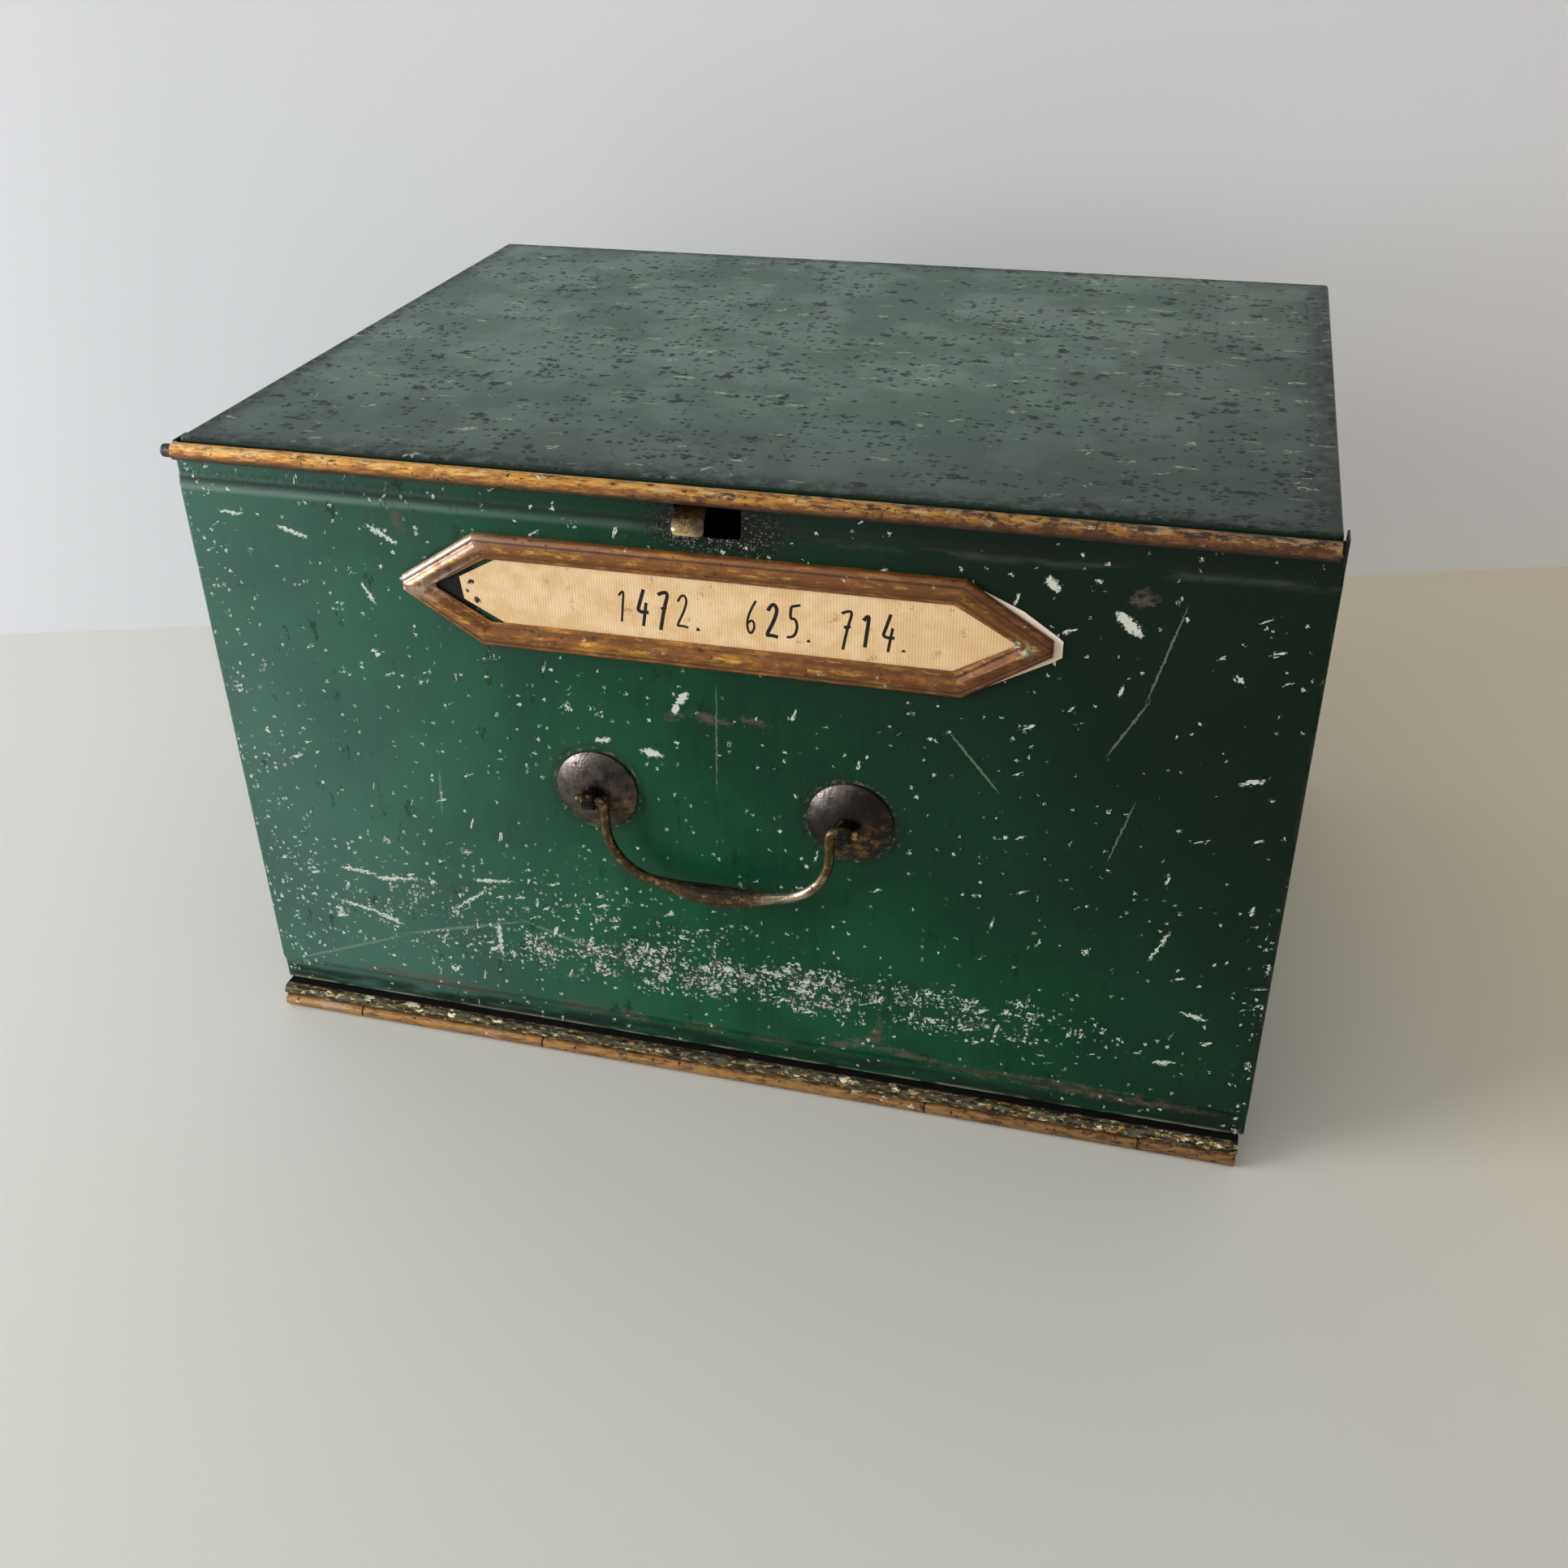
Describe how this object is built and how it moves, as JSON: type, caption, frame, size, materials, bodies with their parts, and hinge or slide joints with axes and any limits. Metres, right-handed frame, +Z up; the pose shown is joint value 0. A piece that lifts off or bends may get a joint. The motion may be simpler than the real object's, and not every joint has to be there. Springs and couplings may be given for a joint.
{
  "type": "deed box",
  "caption": "Folded sheet-steel box for papers whose front drops open on a foot hinge, with a spring catch, a framed card label and a swinging bail handle.",
  "frame": {"origin": "middle of the base, on the surface that the box stands on", "axes": "+X to the right along the front, +Y from the front into the box, +Z up; the front door faces -Y"},
  "size_m": [0.4222, 0.3243, 0.263],
  "materials": {
    "case_enamel": "semi-gloss green enamel, pitted and worn",
    "door_enamel": "semi-gloss bottle-green enamel, chipped",
    "hinge_steel": "worn gold-coloured paint on folded sheet",
    "plain_steel": "dull tinned steel",
    "label_bronze": "patinated copper-brown plating with golden wear",
    "rosette_steel": "dark patinated pressed steel",
    "handle_brass": "dark bronze-coloured cast brass",
    "catch_brass": "spring brass, tarnished",
    "card": "aged laid card"
  },
  "bodies": {
    "case": {"case_top": "case_enamel", "case_left_side": "case_enamel", "case_right_side": "case_enamel", "case_back": "case_enamel", "case_bottom": "case_enamel", "case_hinge_leaf": "hinge_steel", "hinge_pin": "hinge_steel", "catch_plate": "plain_steel", "catch_rivets": "plain_steel"},
    "door": {"door_panel": "door_enamel", "door_edge_wire": "plain_steel", "door_hinge_strip": "hinge_steel", "label_frame": "label_bronze", "handle_rosette_left": "rosette_steel", "handle_rosette_right": "rosette_steel", "handle_post_left": "handle_brass", "handle_post_right": "handle_brass", "handle_washers": "plain_steel", "handle_nuts": "plain_steel"},
    "bail": {"handle_bail": "handle_brass"},
    "catch": {"catch_spring": "catch_brass"},
    "card": {"label_card": "card"}
  },
  "joints": [
    {"name": "door_swing", "type": "hinge", "parent": "case", "child": "door", "pos_m": [0, -0.1618, 0.0026], "axis": [1, 0, 0], "range_deg": [0, 86]},
    {"name": "bail_swing", "type": "hinge", "parent": "door", "child": "bail", "pos_m": [0, -0.1661, 0.134], "axis": [-1, 0, 0], "range_deg": [-7, 173]},
    {"name": "catch_press", "type": "hinge", "parent": "case", "child": "catch", "pos_m": [-0.0065, -0.099, 0.26035], "axis": [1, 0, 0], "range_deg": [0, 2], "stiffness_Nm_per_rad": 4, "springref_deg": -1.15},
    {"name": "card_slide", "type": "slide", "parent": "door", "child": "card", "axis": [1, 0, 0], "range_m": [-0.136, 0.11]}
  ]
}
